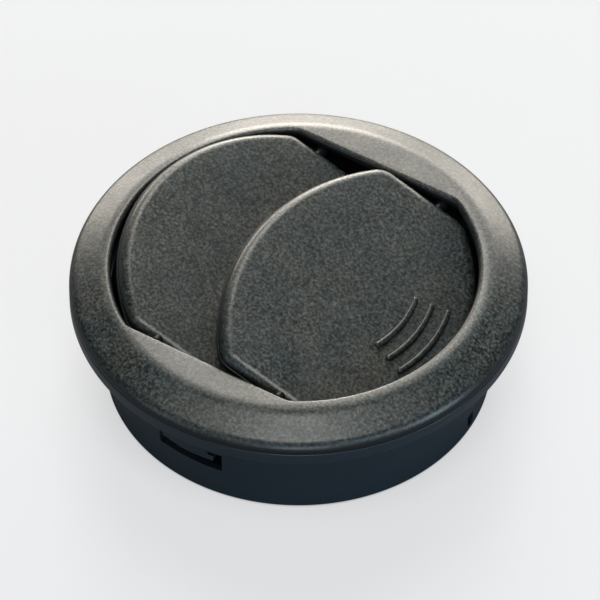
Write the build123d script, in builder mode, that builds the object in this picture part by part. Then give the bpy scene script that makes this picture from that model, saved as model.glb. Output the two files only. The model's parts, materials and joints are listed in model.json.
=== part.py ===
from build123d import *
import os
from math import atan, cos, degrees, pi, radians, sin, sqrt, tan

# Round air outlet vent: a mounting collar, a bezel that turns in its flange, and two linked flaps.
# Millimetres, +Z out of the panel, origin on the vent axis at the collar's open end.
# X runs along the opening's straight sides, and the flaps tilt about axes along Y.
# Heights are counted from the flange's seat on the panel, unless a name says otherwise.

# Collar tube and flange
collar_radius = 40.0
collar_wall = 1.6
collar_depth = 21.2
collar_lead = 0.6
flange_width = 7.0
flange_plate = 1.5
rim_height = 2.7
rim_wall = 1.3
rim_round = 0.45

# Snap ring that holds the bezel and lets it turn
run_gap = 0.3
snap_bead = 0.5
snap_land = 0.6
skirt_wall = 1.2
catch_wall = 1.2
catch_height = 4.0

# Spring tongues in the collar, and the small windows between them
tongue_turn = -92.0
tongue_width = 15.4
tongue_height = 2.3
tongue_drop = 13.7
tongue_slit = 2.2
tongue_leg = 1.9
tongue_nick = 0.8
tongue_hook = 3.3
hook_slit = 0.85
barb_width = 8.4
barb_height = 0.6
barb_length = 1.7
barb_lead = 1.1
window_turn = 4.0
window_width = 2.2
window_height = 3.0
window_base = 1.7

# Bezel
bezel_height = 8.4
bezel_shell = 1.8
crest_inset = 7.2
crest_round = 4.0
shoulder_height = 4.9
side_flat = 0.15
nose_round = 0.4
lip_round = 0.7

# Barrel-shaped opening: two arcs about the vent axis, joined by two straight sides.
# The lands are what is left of the flat top between the opening and the crest.
right_land = 2.9
left_land = 1.2
straight_land = 7.5
opening_corner = 4.0

# Flaps
pivot_height = 5.0
rest_tilt = 18.0
closed_tilt = 8.0
open_tilt = 88.0
flap_face_rise = 2.0
flap_depth = 3.6
flap_skin = 1.6
flap_rim = 1.5
flap_edge_round = 1.8
flap_corner = 5.0
outer_gap = 0.05
outer_arc_ease = 1.55
inner_gap = 3.25
inner_arc = 47.45
end_gap = 1.05
brim_reach = 0.25
brim_end = 0.25
brim_thickness = 1.0
stiffener_wall = 1.2
stiffener_depth = 1.4
stiffener_pitch = 20.0
stiffener_count = 3

# Pivot pins, bearing walls, cranks and the link that joins the flaps
pin_radius = 1.3
pin_clearance = 0.06
bearing_wall = 1.6
bearing_margin = 3.6
crank_arm = 4.5
crank_thickness = 1.8
crank_pin_radius = 1.0
crank_pin_head = 0.3
eye_radius = 1.7
open_pivot_clearance = 0.25
link_thickness = 1.0
link_clearance = 0.4

# Grip ribs on the right flap
grip_count = 3
grip_inset = 5.35
grip_pitch = 3.6
grip_half_angle = 16.4
grip_width = 1.3
grip_height = 0.8
grip_round = 0.35

# Sizes that follow from the ones above
collar_bore = collar_radius - collar_wall
flange_radius = collar_radius + flange_width
rim_bore = flange_radius - rim_wall
skirt_radius = rim_bore - run_gap
skirt_bore = skirt_radius - skirt_wall
hook_bore = skirt_bore - snap_bead
catch_radius = skirt_bore - run_gap
catch_neck = catch_radius - snap_bead
catch_bore = catch_neck - catch_wall
skirt_base = flange_plate + run_gap
bezel_base = rim_height + run_gap
crest_radius = flange_radius - crest_inset
slope_drop = (bezel_height - shoulder_height) / crest_inset
plate_underside = bezel_height - bezel_shell
shoulder_turn = pi / 2 - atan(slope_drop)
shoulder_round = (shoulder_height - bezel_base - nose_round - side_flat) / tan(shoulder_turn / 2)
skirt_top = plate_underside - slope_drop * (skirt_bore - crest_radius)
opening_right = crest_radius - right_land
opening_left = crest_radius - left_land
straight_half = crest_radius - straight_land
end_half = straight_half - end_gap
link_face = end_half + brim_end + run_gap
crank_pin_end = link_face + link_thickness + crank_pin_head
bearing_face = crank_pin_end + run_gap
pin_end = bearing_face + bearing_wall
crank_angle = (closed_tilt + open_tilt) / 2 - 90

# The pivots stand as far out as the swinging link's ends can go inside the collar
crank_swing = crank_arm * cos(radians(crank_angle - closed_tilt))
link_reach = sqrt((collar_bore - link_clearance) ** 2 - (link_face + link_thickness) ** 2)
pivot_offset = link_reach - crank_swing - eye_radius
outer_reach = opening_right - pivot_offset - outer_gap
outer_arc = opening_right + outer_arc_ease
inner_reach = 2 * pivot_offset - inner_gap


def section_at(turn):
    # Radial plane at a turn about the vent axis: x is the radius, y the height above the panel.
    across = (cos(radians(turn)), sin(radians(turn)), 0)
    normal = (sin(radians(turn)), -cos(radians(turn)), 0)
    return Plane(origin=(0, 0, collar_depth), x_dir=across, z_dir=normal)


def along_collar(length):
    # Angle that a length takes up on the outside of the tube.
    return degrees(length / collar_radius)


def hinge_plane(side):
    # Plane through a flap's pivot axis at rest: x across the flap, y along the axis, z out of its face.
    level = Plane((side * pivot_offset, 0, collar_depth + pivot_height))
    return level.rotated((0, rest_tilt, 0))


def flap_outline(side, grow, grow_end):
    # Barrel: an outer arc that follows the opening, a flatter inner arc and two straight ends.
    outer_centre = side * (outer_reach - outer_arc)
    inner_centre = side * (inner_arc - inner_reach)
    with BuildSketch() as outline:
        with Locations((outer_centre, 0)):
            Circle(outer_arc + grow)
        with Locations((inner_centre, 0)):
            Circle(inner_arc + grow, mode=Mode.INTERSECT)
        Rectangle(4 * outer_arc, 2 * (end_half + grow_end), mode=Mode.INTERSECT)
        fillet(outline.vertices(), flap_corner)
    return outline.sketch


# Mounting collar: tube, flange with a low rim, and the ring that the bezel snaps over
with BuildPart() as mounting_collar:
    with BuildSketch(section_at(0)) as collar_section:
        with BuildLine():
            Polyline(
                (collar_bore, -collar_depth),
                (collar_radius, -collar_depth),
                (collar_radius, 0),
                (flange_radius, 0),
                (flange_radius, rim_height),
                (rim_bore, rim_height),
                (rim_bore, flange_plate),
                (catch_neck, flange_plate),
                (catch_neck, catch_height - snap_land - snap_bead),
                (catch_radius, catch_height - snap_land),
                (catch_radius, catch_height),
                (catch_bore, catch_height),
                (catch_bore, flange_plate),
                (collar_bore, flange_plate),
                close=True,
            )
        make_face()
        rim_edges = [(flange_radius, 0), (flange_radius, rim_height)]
        for corner in rim_edges:
            fillet(collar_section.vertices().sort_by_distance(corner)[0], rim_round)
        chamfer(collar_section.vertices().sort_by_distance((collar_radius, -collar_depth))[0], collar_lead)
    revolve(axis=Axis.Z)

    # Slits round each tongue: one below it with a nick at its root, one up its free end and a hook back over that end
    half_span = along_collar(tongue_width) / 2
    nick_span = along_collar(tongue_nick)
    leg_span = along_collar(tongue_leg)
    hook_span = along_collar(tongue_hook)
    barb_base = -tongue_drop + tongue_slit
    slit_top = barb_base + tongue_height
    slits = [
        (-half_span, 2 * half_span, -tongue_drop, barb_base),
        (-half_span, nick_span, -tongue_drop, barb_base + tongue_nick),
        (half_span - leg_span, leg_span, -tongue_drop, slit_top),
        (half_span - hook_span, hook_span, slit_top - hook_slit, slit_top),
    ]
    for opposite in (0, 180):
        for start, span, low, high in slits:
            with BuildSketch(section_at(tongue_turn + opposite + start)):
                with Locations((collar_radius - collar_wall / 2, (low + high) / 2)):
                    Rectangle(2 * collar_wall, high - low)
            revolve(axis=Axis.Z, revolution_arc=span, mode=Mode.SUBTRACT)

    # Barb on each tongue, sloped below so that it slips through the panel's cut-out
    barb_span = along_collar(barb_width)
    for opposite in (0, 180):
        with BuildSketch(section_at(tongue_turn + opposite - barb_span / 2)):
            with BuildLine():
                Polyline(
                    (collar_radius - collar_wall / 2, barb_base),
                    (collar_radius, barb_base),
                    (collar_radius + barb_height, barb_base + barb_lead),
                    (collar_radius + barb_height, barb_base + barb_length),
                    (collar_radius - collar_wall / 2, barb_base + barb_length),
                    close=True,
                )
            make_face()
        revolve(axis=Axis.Z, revolution_arc=barb_span)

    # Small windows near the open end
    window_span = along_collar(window_width)
    for opposite in (0, 180):
        with BuildSketch(section_at(window_turn + opposite - window_span / 2)):
            with Locations((collar_radius - collar_wall / 2, window_base + window_height / 2 - collar_depth)):
                Rectangle(2 * collar_wall, window_height)
        revolve(axis=Axis.Z, revolution_arc=window_span, mode=Mode.SUBTRACT)

mounting_collar.part.label = "mounting_collar"


# Bezel ring: flat top, sloping outer face with a rounded nose, and a skirt that snaps over the collar's ring
with BuildPart() as bezel_ring:
    with BuildSketch(section_at(0)) as bezel_section:
        with BuildLine():
            Polyline(
                (0, bezel_height),
                (crest_radius, bezel_height),
                (flange_radius, shoulder_height),
                (flange_radius, bezel_base),
                (skirt_radius, bezel_base),
                (skirt_radius, skirt_base),
                (hook_bore, skirt_base),
                (hook_bore, skirt_base + snap_land),
                (skirt_bore, skirt_base + snap_land + snap_bead),
                (skirt_bore, skirt_top),
                (crest_radius, plate_underside),
                (0, plate_underside),
                close=True,
            )
        make_face()
        rounds = [
            ((crest_radius, bezel_height), crest_round),
            ((flange_radius, shoulder_height), shoulder_round),
            ((flange_radius, bezel_base), nose_round),
        ]
        for corner, radius in rounds:
            fillet(bezel_section.vertices().sort_by_distance(corner)[0], radius)
    revolve(axis=Axis.Z)

    # Barrel-shaped opening through the top
    right_corner = sqrt(opening_right**2 - straight_half**2)
    left_corner = sqrt(opening_left**2 - straight_half**2)
    with BuildSketch(Plane.XY.offset(collar_depth + bezel_height)) as opening:
        with BuildLine():
            back = Line((-left_corner, straight_half), (right_corner, straight_half))
            right_side = ThreePointArc(back @ 1, (opening_right, 0), (right_corner, -straight_half))
            front = Line(right_side @ 1, (-left_corner, -straight_half))
            ThreePointArc(front @ 1, (-opening_left, 0), back @ 0)
        make_face()
        fillet(opening.vertices(), opening_corner)
    extrude(amount=-bezel_height, mode=Mode.SUBTRACT)
    fillet(bezel_ring.edges(Select.LAST).group_by(Axis.Z)[-1], lip_round)

    # Bearing wall under each straight side, with a hole for each flap's pin
    wall_half = pivot_offset + bearing_margin
    for end in (-1, 1):
        wall_plane = Plane((0, end * bearing_face, collar_depth), x_dir=(-end, 0, 0), z_dir=(0, end, 0))
        with BuildSketch(wall_plane):
            with Locations((0, (skirt_base + plate_underside) / 2)):
                Rectangle(2 * wall_half, plate_underside - skirt_base)
            with Locations((-pivot_offset, pivot_height), (pivot_offset, pivot_height)):
                Circle(pin_radius + pin_clearance, mode=Mode.SUBTRACT)
        extrude(amount=bearing_wall)

bezel_ring.part.label = "bezel_ring"


def make_flap(side, with_grips):
    hinge = hinge_plane(side)
    out_of_face = Axis(hinge.origin, hinge.z_dir)
    underside = hinge.offset(flap_face_rise - flap_depth)
    skin_underside = hinge.offset(flap_face_rise - flap_skin)
    end_centre = hinge.from_local_coords((0, -end_half, 0))
    crank_plane = Plane(end_centre, x_dir=hinge.x_dir, z_dir=-hinge.y_dir)
    crank_point = (crank_arm * cos(radians(crank_angle)), crank_arm * sin(radians(crank_angle)))

    with BuildPart() as flap:
        # Plate with a rounded edge, and the thin brim round its foot
        with BuildSketch(hinge.offset(flap_face_rise)):
            add(flap_outline(side, 0, 0))
        extrude(amount=-flap_depth)
        fillet(flap.faces().sort_by(out_of_face)[-1].edges(), flap_edge_round)
        with BuildSketch(underside):
            add(flap_outline(side, brim_reach, brim_end))
        extrude(amount=brim_thickness)

        # Hollow underside, stiffened across
        with BuildSketch(underside):
            add(flap_outline(side, -flap_rim, -flap_rim))
        extrude(amount=flap_depth - flap_skin, mode=Mode.SUBTRACT)
        with BuildSketch(skin_underside):
            with GridLocations(0, stiffener_pitch, 1, stiffener_count):
                Rectangle(4 * outer_arc, stiffener_wall)
            add(flap_outline(side, -flap_rim / 2, -flap_rim / 2), mode=Mode.INTERSECT)
        extrude(amount=-stiffener_depth)

        # Round spine whose ends are the pivot pins
        with BuildSketch(Plane(hinge.origin, x_dir=hinge.x_dir, z_dir=hinge.y_dir)):
            Circle(pin_radius)
        extrude(amount=pin_end, both=True)

        # Crank at the front end, with the pin that carries the link
        with BuildSketch(crank_plane):
            with Locations((crank_point[0] / 2, crank_point[1] / 2)):
                SlotCenterToCenter(crank_arm, 2 * eye_radius, rotation=crank_angle)
        extrude(amount=-crank_thickness)
        with BuildSketch(crank_plane):
            with Locations(crank_point):
                Circle(crank_pin_radius)
        extrude(amount=crank_pin_end - end_half)

        # Raised grip ribs, struck from the same centre as the outer edge
        if with_grips:
            grip_centre = (side * (outer_reach - outer_arc), 0)
            with BuildSketch(hinge.offset(flap_face_rise)):
                for index in range(grip_count):
                    rib_radius = outer_arc - grip_inset - index * grip_pitch
                    with BuildLine(mode=Mode.PRIVATE) as rib_line:
                        CenterArc(grip_centre, rib_radius, -grip_half_angle, 2 * grip_half_angle)
                    SlotArc(rib_line.edge(), grip_width)
            extrude(amount=grip_height)
            fillet(flap.faces().sort_by(out_of_face)[-grip_count:].edges(), grip_round)
    return flap.part


left_flap = make_flap(-1, False)
left_flap.label = "left_flap"
right_flap = make_flap(1, True)
right_flap.label = "right_flap"


# Coupling link: a thin bar from crank pin to crank pin, beside the front ends of the flaps
crank_turn = radians(crank_angle - rest_tilt)
crank_across = crank_arm * cos(crank_turn)
crank_up = crank_arm * sin(crank_turn)
link_centre = (crank_across, -link_face, collar_depth + pivot_height + crank_up)
with BuildPart() as coupling_link:
    with BuildSketch(Plane(link_centre, x_dir=(1, 0, 0), z_dir=(0, -1, 0))):
        SlotCenterToCenter(2 * pivot_offset, 2 * eye_radius)
        with Locations((pivot_offset, 0)):
            Circle(crank_pin_radius + pin_clearance, mode=Mode.SUBTRACT)
        with Locations((-pivot_offset, 0)):
            Circle(crank_pin_radius + open_pivot_clearance, mode=Mode.SUBTRACT)
    extrude(amount=link_thickness)

coupling_link.part.label = "coupling_link"


os.makedirs("parts", exist_ok=True)
for piece in (mounting_collar.part, bezel_ring.part, left_flap, right_flap, coupling_link.part):
    export_step(piece, f"parts/{piece.label}.step")
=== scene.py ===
import json
import math

import bmesh
import bpy
import numpy as np
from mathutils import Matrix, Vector


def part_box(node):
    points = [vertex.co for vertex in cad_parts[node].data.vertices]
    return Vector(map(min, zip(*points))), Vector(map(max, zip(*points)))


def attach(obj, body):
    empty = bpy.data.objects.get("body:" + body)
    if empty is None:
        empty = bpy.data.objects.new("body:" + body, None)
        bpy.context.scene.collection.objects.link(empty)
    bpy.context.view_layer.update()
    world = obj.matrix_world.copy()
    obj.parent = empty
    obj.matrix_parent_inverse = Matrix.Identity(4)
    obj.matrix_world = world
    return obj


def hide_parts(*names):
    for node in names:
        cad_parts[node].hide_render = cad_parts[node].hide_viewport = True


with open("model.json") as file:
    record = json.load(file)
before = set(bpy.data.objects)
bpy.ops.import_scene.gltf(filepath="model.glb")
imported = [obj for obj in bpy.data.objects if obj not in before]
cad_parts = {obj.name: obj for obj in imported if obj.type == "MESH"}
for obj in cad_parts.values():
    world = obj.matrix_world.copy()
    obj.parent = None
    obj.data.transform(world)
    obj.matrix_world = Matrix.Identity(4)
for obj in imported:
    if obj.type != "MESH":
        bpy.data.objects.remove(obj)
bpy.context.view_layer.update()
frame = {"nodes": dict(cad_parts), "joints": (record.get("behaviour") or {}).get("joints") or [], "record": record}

# Everything below is worked out in millimetres and written to the meshes in metres.
mm = 0.001
joints = {joint["name"]: joint for joint in frame["joints"]}
mounts = {mount["name"]: mount for mount in frame["record"]["mounts"]}
seatHeight = mounts["panel_seat"]["pos_m"][2] / mm  # underside of the flange, on the panel
collarRadius = mounts["snap_collar"]["dims"]["r_mm"]
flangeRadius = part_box("mounting_collar")[1].x / mm
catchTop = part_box("mounting_collar")[1].z / mm
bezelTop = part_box("bezel_ring")[1].z / mm
pivotX, pivotZ = np.array(joints["right_flap_tilt"]["pos_m"])[[0, 2]] / mm
crankX, crankZ = np.array(joints["link_pivot"]["pos_m"])[[0, 2]] / mm
print("frame: flange radius %.2f, seat %.2f, pivots at %.2f mm" % (flangeRadius, seatHeight, pivotX))


# Mesh helpers

mergeDistance = 2e-6  # metres: closes poles and seams
sliverLength = 1e-7  # metres: shorter edges are dissolved
nearZero = 1e-9  # keeps a division finite
bevelSegments = 2


def gridQuads(rows, columns, closeRows=False):
    # Quads between neighbouring points of a grid. The columns always close into a ring.
    rowCount = rows if closeRows else rows - 1
    rowIndex, columnIndex = np.meshgrid(np.arange(rowCount), np.arange(columns), indexing="ij")
    nextRow = (rowIndex + 1) % rows
    nextColumn = (columnIndex + 1) % columns
    corners = [rowIndex * columns + columnIndex, rowIndex * columns + nextColumn,
               nextRow * columns + nextColumn, nextRow * columns + columnIndex]
    return np.stack(corners, axis=-1)


def ringShell(loops, grained=0.0, closeRows=False):
    # A skin through a stack of closed loops, each with the same number of points. Grained says how far
    # the mould's grain covers each loop, or all of them.
    points = np.stack(loops)
    quads = gridQuads(points.shape[0], points.shape[1], closeRows)
    masks = np.broadcast_to(np.reshape(grained, (-1, 1)), points.shape[:2])
    return points.reshape(-1, 3), quads.reshape(-1, 4), masks.reshape(-1)


def capped(loops):
    # Closes a stack of loops with a pole at each end: the end loops shrink to their own middle.
    first = np.broadcast_to(loops[0].mean(axis=0), loops[0].shape)
    last = np.broadcast_to(loops[-1].mean(axis=0), loops[-1].shape)
    return ringShell([first] + list(loops) + [last])


def roundedPath(corners, radii, steps=6):
    # Polyline whose corners are arcs: each arc touches both runs at radius * tan(turn / 2) from the corner.
    corners = np.asarray(corners, float)
    path = []
    for index, radius in enumerate(radii):
        here = corners[index]
        if radius == 0:
            path.append(here[None])
            continue
        inward = corners[index - 1] - here
        onward = corners[(index + 1) % len(corners)] - here
        inward /= np.linalg.norm(inward)
        onward /= np.linalg.norm(onward)
        opening = math.acos(np.clip(inward @ onward, -1, 1))
        bisector = (inward + onward) / np.linalg.norm(inward + onward)
        centre = here + bisector * radius / math.sin(opening / 2)
        start = here + inward * radius / math.tan(opening / 2) - centre
        finish = here + onward * radius / math.tan(opening / 2) - centre
        sweep = math.pi - opening
        share = np.linspace(0, 1, steps + 1)[:, None]
        arc = (np.sin((1 - share) * sweep) * start + np.sin(share * sweep) * finish) / math.sin(sweep)
        path.append(centre + arc)
    return np.concatenate(path)


def makePiece(name, shells, body, material, node, sharpAngle=35, bevel=0):
    # Joins the shells into one mesh, merges poles and seams, turns the faces outwards and puts the piece
    # on its body.
    starts = np.cumsum([0] + [len(shell[0]) for shell in shells])
    points = np.concatenate([shell[0] for shell in shells]) * mm
    quads = np.concatenate([shell[1] + start for shell, start in zip(shells, starts)])
    mesh = bpy.data.meshes.new(name)
    mesh.from_pydata(points.tolist(), [], quads.tolist())
    grained = mesh.attributes.new("grained", "FLOAT", "POINT")
    grained.data.foreach_set("value", np.concatenate([shell[2] for shell in shells]))
    build = bmesh.new()
    build.from_mesh(mesh)
    bmesh.ops.remove_doubles(build, verts=build.verts, dist=mergeDistance)
    bmesh.ops.dissolve_degenerate(build, edges=build.edges, dist=sliverLength)
    bmesh.ops.recalc_face_normals(build, faces=build.faces)
    build.to_mesh(mesh)
    build.free()
    mesh.shade_smooth()
    mesh.set_sharp_from_angle(angle=math.radians(sharpAngle))
    mesh.materials.append(material)
    piece = bpy.data.objects.new(name, mesh)
    bpy.context.scene.collection.objects.link(piece)
    if bevel:
        soften = piece.modifiers.new("softEdges", "BEVEL")
        soften.width = bevel * mm
        soften.segments = bevelSegments
        soften.limit_method = "ANGLE"
        soften.angle_limit = math.radians(sharpAngle)
    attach(piece, body)
    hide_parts(node)
    print("piece %s: %d faces" % (name, len(mesh.polygons)))


# Materials

def mathNode(nodes, links, operation, first, second):
    node = nodes.new("ShaderNodeMath")
    node.operation = operation
    for index, value in enumerate((first, second)):
        if isinstance(value, (int, float)):
            node.inputs[index].default_value = value
        else:
            links.new(value, node.inputs[index])
    return node.outputs[0]


def ramp(nodes, links, value, low, high):
    # Stretches a value so that low becomes 0 and high becomes 1, held inside both.
    node = nodes.new("ShaderNodeMapRange")
    node.inputs["From Min"].default_value = low
    node.inputs["From Max"].default_value = high
    links.new(value, node.inputs["Value"])
    return node.outputs["Result"]


sparkGrain = {
    "fineDetail": 3.0,
    "fineRough": 0.6,
    "pitScale": 0.7,  # share of the grain's own scale
    "pitDepth": 0.15,
    "darkBelow": 0.36,
    "paleAbove": 0.77,
    "palePower": 1.7,
    "cloudScale": 160.0,
    "cloudDetail": 4.0,
    "driftScale": 70.0,
    "driftDetail": 1.0,
    "slowRange": (0.3, 0.7),  # of the clouds and the drift
}


def makeGrainGroup():
    # Spark-eroded mould grain: fine pits in wider ones as a height, a mask that is pale on their rims,
    # clouds of wear that the roughness follows, and a slow drift for the tone.
    pattern = sparkGrain
    group = bpy.data.node_groups.new("sparkGrain", "ShaderNodeTree")
    group.interface.new_socket("Vector", in_out="INPUT", socket_type="NodeSocketVector")
    group.interface.new_socket("Grain Scale", in_out="INPUT", socket_type="NodeSocketFloat")
    for name in ("Height", "Speckle", "Clouds", "Drift"):
        group.interface.new_socket(name, in_out="OUTPUT", socket_type="NodeSocketFloat")
    nodes, links = group.nodes, group.links
    inside = nodes.new("NodeGroupInput")
    outside = nodes.new("NodeGroupOutput")
    fine = nodes.new("ShaderNodeTexNoise")
    fine.inputs["Detail"].default_value = pattern["fineDetail"]
    fine.inputs["Roughness"].default_value = pattern["fineRough"]
    pits = nodes.new("ShaderNodeTexVoronoi")
    clouds = nodes.new("ShaderNodeTexNoise")
    clouds.inputs["Detail"].default_value = pattern["cloudDetail"]
    clouds.inputs["Scale"].default_value = pattern["cloudScale"]
    drift = nodes.new("ShaderNodeTexNoise")
    drift.inputs["Detail"].default_value = pattern["driftDetail"]
    drift.inputs["Scale"].default_value = pattern["driftScale"]
    for texture in (fine, pits, clouds, drift):
        links.new(inside.outputs["Vector"], texture.inputs["Vector"])
    links.new(inside.outputs["Grain Scale"], fine.inputs["Scale"])
    pitScale = mathNode(nodes, links, "MULTIPLY", inside.outputs["Grain Scale"], pattern["pitScale"])
    links.new(pitScale, pits.inputs["Scale"])
    pitDepth = mathNode(nodes, links, "MULTIPLY", pits.outputs["Distance"], pattern["pitDepth"])
    height = mathNode(nodes, links, "ADD", fine.outputs["Fac"], pitDepth)
    links.new(height, outside.inputs["Height"])
    rims = ramp(nodes, links, height, pattern["darkBelow"], pattern["paleAbove"])
    links.new(mathNode(nodes, links, "POWER", rims, pattern["palePower"]), outside.inputs["Speckle"])
    links.new(ramp(nodes, links, clouds.outputs["Fac"], *pattern["slowRange"]), outside.inputs["Clouds"])
    links.new(ramp(nodes, links, drift.outputs["Fac"], *pattern["slowRange"]), outside.inputs["Drift"])
    return group


grainGroup = makeGrainGroup()

# The smooth half of the grained finish shows where the mould had no grain: on walls, brims, pins and
# undersides. The collar and the link are smooth all over.
grainedFinish = {
    "name": "grainedPlastic",
    "dark": (0.0000, 0.0002, 0.0004, 1.0),
    "pale": (0.122, 0.137, 0.130, 1.0),
    "coolTint": (0.80, 0.90, 0.98, 1.0),
    "warmTint": (1.18, 1.12, 1.04, 1.0),
    "smooth": (0.008, 0.0095, 0.011, 1.0),
    "roughLow": 0.32,
    "roughHigh": 0.40,
    "smoothRough": 0.34,
    "ior": 1.7,
    "gloss": 0.5,
    "smoothGloss": 0.22,
    "grainScale": 1700.0,
    "bump": 0.35,
    "bumpDepth": 0.0001,
}
satinFinish = {
    "name": "satinPlastic",
    "colour": (0.0115, 0.0205, 0.029, 1.0),
    "rough": 0.30,
    "ior": 1.5,
    "gloss": 0.5,
}
linkFinish = dict(satinFinish, name="linkPlastic", rough=0.45)


def makeSmoothPlastic(finish):
    material = bpy.data.materials.new(finish["name"])
    material.use_nodes = True
    shader = material.node_tree.nodes["Principled BSDF"]
    shader.inputs["Base Color"].default_value = finish["colour"]
    shader.inputs["Roughness"].default_value = finish["rough"]
    shader.inputs["IOR"].default_value = finish["ior"]
    shader.inputs["Specular IOR Level"].default_value = finish["gloss"]
    return material


def makeGrainedPlastic(finish):
    material = bpy.data.materials.new(finish["name"])
    material.use_nodes = True
    nodes, links = material.node_tree.nodes, material.node_tree.links
    shader = nodes["Principled BSDF"]
    place = nodes.new("ShaderNodeTexCoord")
    mask = nodes.new("ShaderNodeAttribute")
    mask.attribute_name = "grained"
    grain = nodes.new("ShaderNodeGroup")
    grain.node_tree = grainGroup
    grain.inputs["Grain Scale"].default_value = finish["grainScale"]
    links.new(place.outputs["Object"], grain.inputs["Vector"])

    speckled = nodes.new("ShaderNodeMix")
    speckled.data_type = "RGBA"
    speckled.inputs["A"].default_value = finish["dark"]
    speckled.inputs["B"].default_value = finish["pale"]
    links.new(grain.outputs["Speckle"], speckled.inputs["Factor"])
    tint = nodes.new("ShaderNodeMix")
    tint.data_type = "RGBA"
    tint.inputs["A"].default_value = finish["coolTint"]
    tint.inputs["B"].default_value = finish["warmTint"]
    links.new(grain.outputs["Drift"], tint.inputs["Factor"])
    tinted = nodes.new("ShaderNodeMix")
    tinted.data_type = "RGBA"
    tinted.blend_type = "MULTIPLY"
    tinted.inputs["Factor"].default_value = 1.0
    links.new(speckled.outputs["Result"], tinted.inputs["A"])
    links.new(tint.outputs["Result"], tinted.inputs["B"])
    colour = nodes.new("ShaderNodeMix")
    colour.data_type = "RGBA"
    colour.inputs["A"].default_value = finish["smooth"]
    links.new(mask.outputs["Fac"], colour.inputs["Factor"])
    links.new(tinted.outputs["Result"], colour.inputs["B"])
    links.new(colour.outputs["Result"], shader.inputs["Base Color"])

    worn = nodes.new("ShaderNodeMapRange")
    worn.inputs["To Min"].default_value = finish["roughLow"]
    worn.inputs["To Max"].default_value = finish["roughHigh"]
    links.new(grain.outputs["Clouds"], worn.inputs["Value"])
    rough = nodes.new("ShaderNodeMix")
    rough.inputs["A"].default_value = finish["smoothRough"]
    links.new(mask.outputs["Fac"], rough.inputs["Factor"])
    links.new(worn.outputs["Result"], rough.inputs["B"])
    links.new(rough.outputs["Result"], shader.inputs["Roughness"])

    shader.inputs["IOR"].default_value = finish["ior"]
    gloss = nodes.new("ShaderNodeMix")
    gloss.inputs["A"].default_value = finish["smoothGloss"]
    links.new(mask.outputs["Fac"], gloss.inputs["Factor"])
    gloss.inputs["B"].default_value = finish["gloss"]
    links.new(gloss.outputs["Result"], shader.inputs["Specular IOR Level"])

    bump = nodes.new("ShaderNodeBump")
    bump.inputs["Distance"].default_value = finish["bumpDepth"]
    strength = mathNode(nodes, links, "MULTIPLY", mask.outputs["Fac"], finish["bump"])
    links.new(strength, bump.inputs["Strength"])
    links.new(grain.outputs["Height"], bump.inputs["Height"])
    links.new(bump.outputs["Normal"], shader.inputs["Normal"])
    return material


grainedPlastic = makeGrainedPlastic(grainedFinish)
satinPlastic = makeSmoothPlastic(satinFinish)
linkPlastic = makeSmoothPlastic(linkFinish)
print("materials: grained, satin and link plastic")


# Mounting collar

collar = {
    "wall": 1.6,
    "lead": 0.6,
    "plate": 1.5,
    "rimHeight": 2.7,
    "rimWall": 1.3,
    "rimRound": 0.2,
    "catchRadius": 43.9,
    "catchNeck": 43.4,
    "catchWall": 1.2,
    "catchLand": 0.6,
    "catchBead": 0.5,
    "edgeRound": 0.25,
    "around": 288,
    "markGap": 0.3,  # degrees between an even column and one that a cut needs
    "wallRows": 9,
    "tongueTurn": -92.0,
    "tongueWidth": 15.4,
    "tongueDrop": 13.7,
    "tongueSlit": 2.2,
    "tongueHeight": 2.3,
    "tongueLeg": 1.9,
    "tongueNick": 0.8,
    "hook": 3.3,
    "hookSlit": 0.85,
    "barbWidth": 8.4,
    "barbHeight": 0.5,
    "barbLead": 0.6,
    "barbLength": 0.9,
    "barbStep": 2.2,
    "windowTurn": 4.0,
    "windowWidth": 2.2,
    "windowHeight": 3.0,
    "windowBase": 1.7,
    "bevel": 0.1,
}


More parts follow.
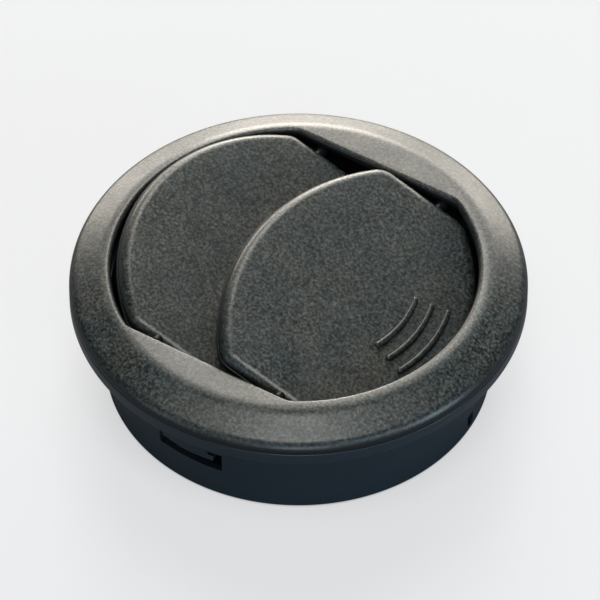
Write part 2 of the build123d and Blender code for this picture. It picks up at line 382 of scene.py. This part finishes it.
def makeCollar():
    # A closed section carried round the vent axis. The tube's outer and inner walls share their heights, so
    # that the slits are cells left out of both walls, with walls of their own between the two. The barbs
    # lift the outer wall.
    size = collar
    bore = collarRadius - size["wall"]
    degreesPer = math.degrees(1 / collarRadius)  # degrees for each millimetre on the outside of the tube
    slitLow = seatHeight - size["tongueDrop"]
    slitHigh = slitLow + size["tongueSlit"]
    legHigh = slitHigh + size["tongueHeight"]
    half = size["tongueWidth"] / 2
    windowHigh = size["windowBase"] + size["windowHeight"]
    cuts = [  # from, to along the tube, low, high
        (-half, half, slitLow, slitHigh),
        (-half, -half + size["tongueNick"], slitLow, slitHigh + size["tongueNick"]),
        (half - size["tongueLeg"], half, slitLow, legHigh),
        (half - size["hook"], half, legHigh - size["hookSlit"], legHigh),
    ]
    cells = [(size["tongueTurn"] + a * degreesPer, size["tongueTurn"] + b * degreesPer, low, high)
             for a, b, low, high in cuts]
    halfWindow = size["windowWidth"] / 2 * degreesPer
    windowTurn = size["windowTurn"]
    cells.append((windowTurn - halfWindow, windowTurn + halfWindow, size["windowBase"], windowHigh))
    cells = np.array([(a + turn, b + turn, low, high) for a, b, low, high in cells for turn in (0, 180)])

    barbHalf = size["barbWidth"] / 2 * degreesPer
    barbSide = size["barbStep"] * degreesPer
    barbTurns = np.array([size["tongueTurn"], size["tongueTurn"] + 180])
    barbEdges = np.array([-barbHalf, -barbHalf + barbSide, barbHalf - barbSide, barbHalf])
    marks = np.concatenate([cells[:, 0], cells[:, 1], (barbTurns[:, None] + barbEdges).ravel()]) % 360
    even = np.arange(0, 360, 360 / size["around"])
    nearest = np.abs((even[:, None] - marks + 180) % 360 - 180).min(axis=1)
    turns = np.unique(np.round(np.concatenate([even[nearest > size["markGap"]], marks]), 6))

    barbLow = slitHigh
    barbHigh = barbLow + size["barbLength"]
    barbStops = [barbLow, barbLow + size["barbLead"], barbHigh, barbHigh + size["barbStep"]]
    evenHeights = np.linspace(size["lead"], seatHeight - size["edgeRound"], size["wallRows"])
    heights = np.unique(np.round(np.concatenate([barbStops, cells[:, 2], cells[:, 3], evenHeights]), 6))
    count = len(heights)
    rimBore = flangeRadius - size["rimWall"]
    catchBore = size["catchNeck"] - size["catchWall"]
    plateTop = seatHeight + size["plate"]
    rimTop = seatHeight + size["rimHeight"]
    landLow = catchTop - size["catchLand"]
    soft = size["edgeRound"]
    upper = roundedPath(
        [(collarRadius, heights[0]), (collarRadius, seatHeight), (flangeRadius, seatHeight),
         (flangeRadius, rimTop), (rimBore, rimTop), (rimBore, plateTop), (size["catchNeck"], plateTop),
         (size["catchNeck"], landLow - size["catchBead"]), (size["catchRadius"], landLow),
         (size["catchRadius"], catchTop), (catchBore, catchTop), (catchBore, plateTop), (bore, plateTop),
         (bore, heights[-1])],
        [0, soft, size["rimRound"], size["rimRound"], soft, 0, 0, 0, 0, soft, soft, 0, soft, 0])[1:-1]
    lower = roundedPath(
        [(bore, heights[0]), (bore, 0), (collarRadius - size["lead"], 0), (collarRadius, heights[0])],
        [0, soft, soft / 2, 0])[1:-1]
    outer = np.stack([np.full(count, collarRadius), heights], axis=1)
    inner = np.stack([np.full(count, bore), heights[::-1]], axis=1)
    section = np.concatenate([outer, upper, inner, lower])

    # Radius and height of every point, with the barbs lifted out of the outer wall
    radius = np.repeat(section[:, :1], len(turns), axis=1)
    height = np.repeat(section[:, 1:], len(turns), axis=1)
    lift = np.interp(heights, barbStops, [0, 1, 1, 0])
    away = np.abs((turns[:, None] - barbTurns + 180) % 360 - 180).min(axis=1)
    across = np.clip((barbHalf - away) / barbSide, 0, 1)
    radius[:count] += size["barbHeight"] * lift[:, None] * across
    angle = np.radians(turns)
    points = np.stack([radius * np.cos(angle), radius * np.sin(angle), height], axis=-1).reshape(-1, 3)

    # Which cells of the tube's wall the slits and windows take away
    middleTurn = (turns + ((np.roll(turns, -1) - turns) % 360) / 2) % 360
    middleHeight = (heights[1:] + heights[:-1]) / 2
    inTurn = ((middleTurn - cells[:, :1]) % 360) < ((cells[:, 1:2] - cells[:, :1]) % 360)
    inHeight = (middleHeight > cells[:, 2:3]) & (middleHeight < cells[:, 3:])
    cut = (inHeight[:, :, None] & inTurn[:, None, :]).any(axis=0)
    quads = gridQuads(len(section), len(turns), closeRows=True)
    keep = np.ones(quads.shape[:2], bool)
    innerStart = count + len(upper)
    keep[:count - 1] = ~cut
    keep[innerStart:innerStart + count - 1] = ~cut[::-1]

    # Walls of the slits: a quad from the outer to the inner wall along each edge of a cut
    number = np.arange(len(section) * len(turns)).reshape(len(section), len(turns))
    outerNumber = number[:count]
    innerNumber = number[innerStart:innerStart + count][::-1]
    row, column = np.nonzero(cut != np.roll(cut, -1, axis=1))
    column = (column + 1) % len(turns)
    uprightWalls = np.stack([outerNumber[row, column], outerNumber[row + 1, column],
                             innerNumber[row + 1, column], innerNumber[row, column]], axis=1)
    row, column = np.nonzero(cut[1:] != cut[:-1])
    nextColumn = (column + 1) % len(turns)
    levelWalls = np.stack([outerNumber[row + 1, column], outerNumber[row + 1, nextColumn],
                           innerNumber[row + 1, nextColumn], innerNumber[row + 1, column]], axis=1)
    faces = np.concatenate([quads[keep], uprightWalls, levelWalls])
    return points, faces, np.zeros(len(points))


makePiece("mountingCollar", [makeCollar()], "collar", satinPlastic,
          "mounting_collar", bevel=collar["bevel"])


# Bezel ring

bezel = {
    "shell": 1.8,
    "crestInset": 7.2,
    "crestRound": 7.0,
    "shoulder": 4.9,
    "sideFlat": 0.15,
    "noseRound": 0.25,
    "base": 2.8,
    "skirtRadius": 45.4,
    "skirtBore": 44.2,
    "hookBore": 43.7,
    "hookLand": 0.6,
    "hookRound": 0.2,
    "skirtBase": 1.8,
    "rightLand": 2.9,
    "leftLand": 1.45,
    "straightLand": 7.5,
    "corner": 4.0,
    "lipRound": 1.1,
    "grainFade": 0.5,  # share of the side wall below the shoulder over which the grain ends
    "arcPoints": 97,
    "linePoints": 41,
    "cornerPoints": 7,
    "lipRows": 8,
    "landRows": 16,
    "slopeRows": 6,
    "noseSteps": 10,
    "underRows": 6,
    "bearingPoints": 96,
    "bearingFace": 33.4,
    "bearingWall": 1.6,
    "bearingMargin": 3.6,
    "pinHole": 1.36,
}
crestRadius = flangeRadius - bezel["crestInset"]


def barrelLoop(rightRadius, leftRadius, half, corner):
    # Barrel about the vent axis, anticlockwise from the right: arc, corner, straight side, corner, arc and
    # back. A corner's centre lies on a circle of radius - corner, at the height of half - corner.
    def quarter(radius):
        centre = np.array([math.sqrt((radius - corner) ** 2 - (half - corner) ** 2), half - corner])
        return centre, math.atan2(centre[1], centre[0])

    rightCentre, rightTurn = quarter(rightRadius)
    leftCentre, leftTurn = quarter(leftRadius)
    share = np.linspace(0, 1, bezel["arcPoints"])
    bend = np.linspace(0, 1, bezel["cornerPoints"])[1:-1]
    run = np.linspace(0, 1, bezel["linePoints"])
    turn = -rightTurn + 2 * rightTurn * share
    rightArc = rightRadius * np.stack([np.cos(turn), np.sin(turn)], axis=1)
    turn = rightTurn + (math.pi / 2 - rightTurn) * bend
    firstCorner = rightCentre + corner * np.stack([np.cos(turn), np.sin(turn)], axis=1)
    topAlong = rightCentre[0] - (rightCentre[0] + leftCentre[0]) * run
    topLine = np.stack([topAlong, np.full(len(run), half)], axis=1)
    turn = math.pi / 2 + (math.pi / 2 - leftTurn) * bend
    secondCorner = leftCentre * (-1, 1) + corner * np.stack([np.cos(turn), np.sin(turn)], axis=1)
    turn = math.pi - leftTurn + 2 * leftTurn * share
    leftArc = leftRadius * np.stack([np.cos(turn), np.sin(turn)], axis=1)
    flip = np.array([1, -1])
    return np.concatenate([rightArc, firstCorner, topLine, secondCorner, leftArc,
                           secondCorner[::-1] * flip, topLine[::-1] * flip, firstCorner[::-1] * flip])


def level(loop, height):
    return np.column_stack([loop, np.full(len(loop), height)])


def makeBezel():
    # Loops from the opening's wall over its lip and across the top to where the slope begins, then a rounded
    # section carried round the axis: slope, shoulder, nose, snap skirt and back under the top.
    size = bezel
    drop = (bezelTop - seatHeight - size["shoulder"]) / size["crestInset"]
    slope = math.atan(drop)
    crestStart = crestRadius - size["crestRound"] * math.tan(slope / 2)
    crestEnd = crestStart + size["crestRound"] * math.sin(slope)

    def opening(grow):
        return barrelLoop(crestRadius - size["rightLand"] + grow, crestRadius - size["leftLand"] + grow,
                          crestRadius - size["straightLand"] + grow, size["corner"] + grow)

    def onTop(loop, sunk=0):
        # Flat inside the crest's arc, then on the arc: its drop is the radius less the chord's height.
        along = np.clip(np.hypot(loop[:, 0], loop[:, 1]) - crestStart, 0, None)
        arcDrop = size["crestRound"] - np.sqrt(size["crestRound"] ** 2 - along ** 2)
        return np.column_stack([loop, bezelTop - arcDrop - sunk])

    underside = bezelTop - size["shell"]
    lip = size["lipRound"]
    skirtTop = underside - drop * (size["skirtBore"] - crestRadius)
    low = seatHeight + size["skirtBase"]
    side = size["shoulder"] - size["base"]
    shoulderRound = (side - size["noseRound"] - size["sideFlat"]) / math.tan((math.pi / 2 - slope) / 2)
    upper = roundedPath(
        [(crestEnd, bezelTop - drop * (crestEnd - crestRadius)),
         (flangeRadius, seatHeight + size["shoulder"]),
         (flangeRadius, seatHeight + size["base"]), (size["skirtRadius"], seatHeight + size["base"])],
        [0, shoulderRound, size["noseRound"], 0], steps=size["noseSteps"])
    lower = roundedPath(
        [(size["skirtRadius"], seatHeight + size["base"]), (size["skirtRadius"], low),
         (size["hookBore"], low), (size["hookBore"], low + size["hookLand"]),
         (size["skirtBore"], low + size["hookLand"] + size["skirtBore"] - size["hookBore"]),
         (size["skirtBore"], skirtTop), (crestRadius, underside)],
        [0, size["hookRound"], size["hookRound"], 0, 0, 0, 0])[1:]
    base = opening(0)
    lipLoop = opening(lip)
    bearing = np.arctan2(base[:, 1], base[:, 0])
    around = np.stack([np.cos(bearing), np.sin(bearing)], axis=1)

    loops = [level(base, underside)]
    grained = [0.0]
    for bend in np.linspace(0, math.pi / 2, size["lipRows"]):
        loops.append(onTop(opening(lip * (1 - math.cos(bend))), lip * (1 - math.sin(bend))))
        grained.append(math.sin(bend) ** 2)
    for share in 1 - np.linspace(1, 0, size["landRows"] + 1)[1:] ** 2:  # closer together by the slope
        loops.append(onTop(lipLoop + (around * crestEnd - lipLoop) * share))
        grained.append(1.0)
    slopeSteps = np.linspace(0, 1, size["slopeRows"])[1:-1, None]
    path = np.concatenate([upper[0] + (upper[1] - upper[0]) * slopeSteps, upper[1:], lower])
    fadeLine = seatHeight + size["shoulder"] - size["grainFade"] * side
    for radius, height in path:
        loops.append(level(around * radius, height))
        grained.append(np.clip((height - fadeLine) / side, 0, 1))
    grained[-len(lower):] = [0.0] * len(lower)  # the skirt and the underside have no grain
    for share in np.linspace(0, 1, size["underRows"])[1:-1]:
        loops.append(level(around * crestRadius * (1 - share) + base * share, underside))
        grained.append(0.0)
    return ringShell(loops, grained, closeRows=True)


def makeBearing(side, end):
    # Half of a bearing wall: a ruled face from the round pin hole to a rectangle, front and back, closed
    # all round.
    size = bezel
    low = seatHeight + size["skirtBase"] - pivotZ
    high = bezelTop - size["shell"] - pivotZ
    across = np.array([size["bearingMargin"], -pivotX, -pivotX, size["bearingMargin"]])
    upright = np.array([high, high, low, low])
    turn = np.linspace(-math.pi, math.pi, size["bearingPoints"], endpoint=False)
    turn = np.unique(np.concatenate([turn, np.arctan2(upright, across)]))
    ray = np.stack([np.cos(turn), np.sin(turn)], axis=1)
    limits = np.where(ray > 0, [size["bearingMargin"], high], [pivotX, -low])
    frameLoop = ray * np.min(limits / np.maximum(np.abs(ray), nearZero), axis=1, keepdims=True)
    holeLoop = ray * size["pinHole"]
    near, far = size["bearingFace"], size["bearingFace"] + size["bearingWall"]

    def place(loop, depth):
        x = side * (pivotX + loop[:, 0])
        return np.column_stack([x, np.full(len(loop), end * depth), pivotZ + loop[:, 1]])

    loops = [place(holeLoop, near), place(frameLoop, near), place(frameLoop, far), place(holeLoop, far)]
    return ringShell(loops, closeRows=True)


bearings = [makeBearing(side, end) for side in (-1, 1) for end in (-1, 1)]
makePiece("bezelRing", [makeBezel()] + bearings, "bezel", grainedPlastic, "bezel_ring")


# Flaps

flap = {
    "restTilt": 18.0,
    "rise": 2.0,
    "depth": 3.6,
    "skin": 1.6,
    "rim": 1.5,
    "edgeRound": 2.3,
    "corner": 5.0,
    "outerGap": 0.05,
    "outerArcEase": 1.55,
    "leftSpread": 0.3,
    "innerGap": 3.25,
    "innerArc": 47.45,
    "endHalf": 31.25,
    "brimReach": 0.25,
    "brimEnd": 0.25,
    "brim": 1.0,
    "brimRound": 0.2,
    "stiffenerWall": 1.2,
    "stiffenerDepth": 1.4,
    "stiffeners": (-20.0, 0.0, 20.0),
    "arcPoints": 81,
    "endPoints": 15,
    "cornerPoints": 9,
    "topRows": 7,
    "edgeRows": 10,
    "brimSteps": 4,
    "pinRadius": 1.3,
    "pinEnd": 35.0,
    "pinRound": 0.2,
    "pinPoints": 40,
    "crankEye": 1.7,
    "eyePoints": 24,
    "crankThickness": 1.8,
    "crankPin": 1.0,
    "crankPinEnd": 33.1,
}
grip = {
    "count": 3,
    "inset": 5.35,
    "pitch": 3.6,
    "halfAngle": 16.4,
    "width": 1.3,
    "height": 0.8,
    "round": 0.5,
    "sink": 0.3,
    "points": 41,
    "endPoints": 13,
    "roundRows": 6,
    "grained": 0.6,
}
openingRight = crestRadius - bezel["rightLand"]
outerReach = openingRight - pivotX - flap["outerGap"]
outerArc = openingRight + flap["outerArcEase"]
innerReach = 2 * pivotX - flap["innerGap"]


def flapLoop(grow, growEnd, growCorner=0.0, spread=0.0):
    # Barrel of the right flap in its own plane, anticlockwise: outer arc, corner, end, corner, inner arc and
    # back. Corners as in the bezel's barrel, but the two arcs have centres of their own. Spread moves the
    # outer arc out.
    half = flap["endHalf"] + growEnd
    corner = flap["corner"] + growCorner
    share = np.linspace(0, 1, flap["arcPoints"])
    bend = np.linspace(0, 1, flap["cornerPoints"])[1:-1]
    run = np.linspace(0, 1, flap["endPoints"])
    outerRadius, innerRadius = outerArc + grow, flap["innerArc"] + grow
    outerMiddle, innerMiddle = outerReach + spread - outerArc, flap["innerArc"] - innerReach
    outerTurn = math.asin((half - corner) / (outerRadius - corner))
    innerTurn = math.asin((half - corner) / (innerRadius - corner))
    outerCorner = np.array([outerMiddle + (outerRadius - corner) * math.cos(outerTurn), half - corner])
    innerCorner = np.array([innerMiddle - (innerRadius - corner) * math.cos(innerTurn), half - corner])

    def arc(middle, radius, start, finish, at):
        turn = start + (finish - start) * at
        return np.asarray(middle) + radius * np.stack([np.cos(turn), np.sin(turn)], axis=1)

    outerSide = arc((outerMiddle, 0), outerRadius, -outerTurn, outerTurn, share)
    firstBend = arc(outerCorner, corner, outerTurn, math.pi / 2, bend)
    endAlong = outerCorner[0] + (innerCorner[0] - outerCorner[0]) * run
    endSide = np.stack([endAlong, np.full(len(run), half)], axis=1)
    secondBend = arc(innerCorner, corner, math.pi / 2, math.pi - innerTurn, bend)
    innerSide = arc((innerMiddle, 0), innerRadius, math.pi - innerTurn, math.pi + innerTurn, share)
    flip = np.array([1, -1])
    return np.concatenate([outerSide, firstBend, endSide, secondBend, innerSide,
                           secondBend[::-1] * flip, endSide[::-1] * flip, firstBend[::-1] * flip])


def makeFlapShell(spread):
    # Loops of the barrel from the middle of the face outwards, over the rounded edge, down the side wall,
    # round the brim and up into the hollow underside to its middle. Each loop is the barrel grown or shrunk
    # at its own height.
    size = flap
    edge, soft = size["edgeRound"], size["brimRound"]
    face, foot = size["rise"], size["rise"] - size["depth"]
    brimTop = foot + size["brim"]
    skinLow = face - size["skin"]
    flat = flapLoop(-edge, -edge, -edge, spread)
    loops = [level(flat * share, face) for share in np.linspace(0, 1, size["topRows"])]
    grained = [1.0] * len(loops)
    for bend in np.linspace(0, math.pi / 2, size["edgeRows"])[1:]:
        inset = edge * (1 - math.sin(bend))
        loops.append(level(flapLoop(-inset, -inset, -inset, spread), face - edge * (1 - math.cos(bend))))
        grained.append(math.cos(bend))
    loops.append(level(flapLoop(0, 0, 0, spread), brimTop))
    reach = size["brimReach"]
    brimCorners = [(0, brimTop), (reach, brimTop), (reach, foot), (0, foot)]
    brimSection = roundedPath(brimCorners, [0, soft, soft, 0], size["brimSteps"])[1:-1]
    for along, height in brimSection:
        loops.append(level(flapLoop(along, along * size["brimEnd"] / reach, 0, spread), height))
    hollow = flapLoop(-size["rim"], -size["rim"], 0, spread)
    loops += [level(hollow, foot), level(hollow, skinLow)]
    loops += [level(hollow * share, skinLow) for share in np.linspace(1, 0, size["topRows"])[1:]]
    grained += [0.0] * (len(loops) - len(grained))
    return ringShell(loops, grained)


def rod(radius, start, finish, across, up):
    # Round bar along the pivot axis with a small round at each end.
    turn = np.linspace(0, 2 * math.pi, flap["pinPoints"], endpoint=False)
    ring = np.stack([np.cos(turn), np.sin(turn)], axis=1)
    soft = flap["pinRound"]
    stations = [(start, radius - soft), (start + soft, radius),
                (finish - soft, radius), (finish, radius - soft)]
    return capped([np.column_stack([across + ring[:, 0] * r, np.full(len(ring), y), up + ring[:, 1] * r])
                   for y, r in stations])


def bar(low, high):
    # Straight bar between two corners, as a stack of four-cornered loops.
    (x0, y0, z0), (x1, y1, z1) = low, high
    loop = np.array([(x0, y0), (x1, y0), (x1, y1), (x0, y1)])
    return capped([level(loop, z0), level(loop, z1)])


def slotLoop(first, second, radius):
    # Two half circles about two points, joined by straight sides.
    along = math.atan2(second[1] - first[1], second[0] - first[0])
    turn = np.linspace(math.pi / 2, 3 * math.pi / 2, flap["eyePoints"]) + along
    ring = radius * np.stack([np.cos(turn), np.sin(turn)], axis=1)
    return np.concatenate([np.asarray(first) + ring, np.asarray(second) - ring])


def makeCrank():
    # Flat arm from the pivot to the crank pin, at the front end of the flap, and the pin for the link.
    tilt = math.radians(flap["restTilt"])
    dx, dz = crankX - pivotX, crankZ - pivotZ
    pin = (dx * math.cos(tilt) - dz * math.sin(tilt), dx * math.sin(tilt) + dz * math.cos(tilt))
    loop = slotLoop((0, 0), pin, flap["crankEye"])
    ends = (-flap["endHalf"], -flap["endHalf"] + flap["crankThickness"])
    arm = capped([np.column_stack([loop[:, 0], np.full(len(loop), y), loop[:, 1]]) for y in ends])
    return [arm, rod(flap["crankPin"], -flap["crankPinEnd"], ends[1], pin[0], pin[1])]


def gripLoop(radius, halfWidth):
    # Band along an arc about the outer edge's centre, with half-round ends.
    middle = np.array([outerReach - outerArc, 0])
    reach = math.radians(grip["halfAngle"])
    along = np.linspace(-reach, reach, grip["points"])
    outerSide = (radius + halfWidth) * np.stack([np.cos(along), np.sin(along)], axis=1)
    innerSide = (radius - halfWidth) * np.stack([np.cos(along), np.sin(along)], axis=1)[::-1]
    bend = np.linspace(0, math.pi, grip["endPoints"])[1:-1]
    top = radius * np.array([math.cos(reach), math.sin(reach)])
    cap = halfWidth * np.stack([np.cos(bend + reach), np.sin(bend + reach)], axis=1)
    flip = np.array([1, -1])
    return middle + np.concatenate([outerSide, top + cap, innerSide, (top + cap)[::-1] * flip])


def makeGrip(index):
    # Rib as a stack of bands that narrow over its rounded top, closed along its own arc.
    radius = outerArc - grip["inset"] - index * grip["pitch"]
    half, soft, top = grip["width"] / 2, grip["round"], flap["rise"] + grip["height"]
    foot = flap["rise"] - grip["sink"]
    loops = [level(gripLoop(radius, width), foot) for width in (0, half)]
    for bend in np.linspace(0, math.pi / 2, grip["roundRows"]):
        inset = soft * (1 - math.cos(bend))
        loops.append(level(gripLoop(radius, half - inset), top - soft * (1 - math.sin(bend))))
    loops.append(level(gripLoop(radius, 0), top))
    return ringShell(loops, grip["grained"])


def onHinge(shell, side):
    # From the flap's own plane to its place: tilted about the pivot axis, then moved to the pivot.
    points, quads, grained = shell
    tilt = math.radians(flap["restTilt"])
    x, y, z = points.T
    across = x * math.cos(tilt) + z * math.sin(tilt) + side * pivotX
    upward = -x * math.sin(tilt) + z * math.cos(tilt) + pivotZ
    return np.stack([across, y, upward], axis=1), quads, grained


def makeFlap(name, side, body, node, withGrips, spread):
    # The stiffeners end halfway into the rim and the skin. The left flap is the right one's mirror image.
    shells = [makeFlapShell(spread)]
    head = flap["rise"] - flap["skin"] / 2
    foot = flap["rise"] - flap["skin"] - flap["stiffenerDepth"]
    inset = flap["rim"] / 2
    wall = flap["stiffenerWall"] / 2
    for middle in flap["stiffeners"]:
        outerEnd = outerReach - outerArc + math.sqrt((outerArc - inset) ** 2 - middle ** 2)
        innerEnd = flap["innerArc"] - innerReach - math.sqrt((flap["innerArc"] - inset) ** 2 - middle ** 2)
        shells.append(bar((innerEnd, middle - wall, foot), (outerEnd, middle + wall, head)))
    mirror = np.array([side, 1, 1])
    shells = [(points * mirror, quads, grained) for points, quads, grained in shells]
    shells.append(rod(flap["pinRadius"], -flap["pinEnd"], flap["pinEnd"], 0, 0))
    shells += makeCrank()
    if withGrips:
        shells += [makeGrip(index) for index in range(grip["count"])]
    shells = [onHinge(shell, side) for shell in shells]
    makePiece(name, shells, body, grainedPlastic, node)


makeFlap("leftFlap", -1, "flap_left", "left_flap", False, flap["leftSpread"])
makeFlap("rightFlap", 1, "flap_right", "right_flap", True, 0.0)


# Coupling link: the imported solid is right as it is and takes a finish

linkNode = frame["nodes"]["coupling_link"]
linkNode.data.materials.clear()
linkNode.data.materials.append(linkPlastic)
linkNode.data.polygons.foreach_set("material_index", np.zeros(len(linkNode.data.polygons), np.int32))


# Floor, lights and camera

floor = {
    "size": 6.0,
    "pale": (0.26, 0.27, 0.294, 1.0),
    # painted shade: the floor's colour inside the collar, where the vent's inside lies in shadow
    "dark": (0.012, 0.012, 0.013, 1.0),
    "rough": 0.8,
    "glow": 0.6,
}


def makeFloor():
    # Pale sheet that glows for the camera alone, as an overexposed backdrop does. Inside the collar it is painted
    # dark and does not glow: painted shade for the shadowed inside of the vent, so that the slits look black.
    mesh = bpy.data.meshes.new("paleFloor")
    half = floor["size"] / 2
    corners = [(-half, -half, 0), (half, -half, 0), (half, half, 0), (-half, half, 0)]
    mesh.from_pydata(corners, [], [(0, 1, 2, 3)])
    material = bpy.data.materials.new("paleFloor")
    material.use_nodes = True
    nodes, links = material.node_tree.nodes, material.node_tree.links
    shader = nodes["Principled BSDF"]
    shader.inputs["Roughness"].default_value = floor["rough"]
    place = nodes.new("ShaderNodeTexCoord")
    distance = nodes.new("ShaderNodeVectorMath")
    distance.operation = "LENGTH"
    links.new(place.outputs["Object"], distance.inputs[0])
    bore = (collarRadius - collar["wall"]) * mm
    # Mask of the painted shade: 0 inside the collar's bore, 1 outside it; it darkens the floor and stops its glow
    # there
    outside = ramp(nodes, links, distance.outputs["Value"], bore, collarRadius * mm)
    colour = nodes.new("ShaderNodeMix")
    colour.data_type = "RGBA"
    colour.inputs["A"].default_value = floor["dark"]
    colour.inputs["B"].default_value = floor["pale"]
    links.new(outside, colour.inputs["Factor"])
    links.new(colour.outputs["Result"], shader.inputs["Base Color"])
    seen = nodes.new("ShaderNodeLightPath")
    glow = mathNode(nodes, links, "MULTIPLY", seen.outputs["Is Camera Ray"], floor["glow"])
    shader.inputs["Emission Color"].default_value = (1, 1, 1, 1)
    links.new(mathNode(nodes, links, "MULTIPLY", glow, outside), shader.inputs["Emission Strength"])
    mesh.materials.append(material)
    sheet = bpy.data.objects.new("paleFloor", mesh)
    bpy.context.scene.collection.objects.link(sheet)


photoView = {
    "azimuth": 32.0,  # of the camera round the vent, from -Y towards +X
    "elevation": 47.23,
    "distance": 1.41,
    "lens": 412.3,
    "shift": (0.0025, -0.0128),
    "sensor": 36.0,
    "farClip": 20.0,
}


def direction(azimuth, elevation):
    a, e = math.radians(azimuth), math.radians(elevation)
    return Vector((math.sin(a) * math.cos(e), -math.cos(a) * math.cos(e), math.sin(e)))


def lookFrom(thing, way, distance, target):
    thing.location = target + way * distance
    thing.rotation_mode = "QUATERNION"
    thing.rotation_quaternion = (-way).to_track_quat("-Z", "Y")


def makeCamera():
    data = bpy.data.cameras.new("photoCamera")
    data.sensor_width = photoView["sensor"]
    data.lens = photoView["lens"]
    data.shift_x, data.shift_y = photoView["shift"]
    data.clip_end = photoView["farClip"]
    camera = bpy.data.objects.new("photoCamera", data)
    bpy.context.scene.collection.objects.link(camera)
    way = direction(photoView["azimuth"], photoView["elevation"])
    lookFrom(camera, way, photoView["distance"], Vector((0, 0, seatHeight * mm)))
    bpy.context.scene.camera = camera


# Each light: turn from the camera (90 right, 180 behind the vent, 270 left), elevation, watts and colour.
# A tall warm window stands behind the vent, a soft box hangs over the camera and cool fill comes from
# below it. There is no light from the world around.
warm = (1.0, 0.935, 0.84)
plain = (1.0, 1.0, 0.94)
cool = (0.7, 0.88, 1.0)
studioLights = {
    "backLow": (180, 4, 9.0, warm),
    "backMid": (180, 16, 8.0, warm),
    "backHigh": (180, 45, 4.7, warm),
    "backOver": (180, 60, 2.1, plain),
    "backRightLow": (155, 6, 4.8, warm),
    "backRightMid": (155, 20, 3.0, warm),
    "backRightHigh": (155, 40, 0.7, cool),
    "backLeftLow": (205, 6, 6.2, warm),
    "backLeftHigh": (205, 40, 1.3, warm),
    "overFront": (0, 70, 5.9, plain),
    "overLeft": (300, 65, 1.3, plain),
    "overRight": (60, 65, 0.65, plain),
    "lowFront": (0, 5, 6.4, cool),
    "lowFrontRight": (30, 20, 2.6, cool),
    "lowFrontLeft": (330, 20, 1.2, cool),
    "lowRight": (60, 10, 6.8, cool),
    "lowLeft": (300, 10, 1.6, cool),
}
lightDistance = 1.5
lightSize = 0.6


def makeLights():
    for name, (turn, elevation, watts, colour) in studioLights.items():
        data = bpy.data.lights.new(name, "AREA")
        data.shape = "DISK"
        data.size = lightSize
        data.energy = watts
        data.color = colour
        lamp = bpy.data.objects.new(name, data)
        lamp.visible_camera = False
        bpy.context.scene.collection.objects.link(lamp)
        lookFrom(lamp, direction(photoView["azimuth"] + turn, elevation), lightDistance, Vector((0, 0, 0)))
    world = bpy.data.worlds.new("studioWorld")
    world.use_nodes = True
    world.node_tree.nodes["Background"].inputs["Color"].default_value = (1, 1, 1, 1)
    world.node_tree.nodes["Background"].inputs["Strength"].default_value = 0.0
    bpy.context.scene.world = world
    bpy.context.scene.view_settings.view_transform = "Standard"


makeFloor()
makeCamera()
makeLights()
print("stage: floor, camera and %d lights" % len(studioLights))
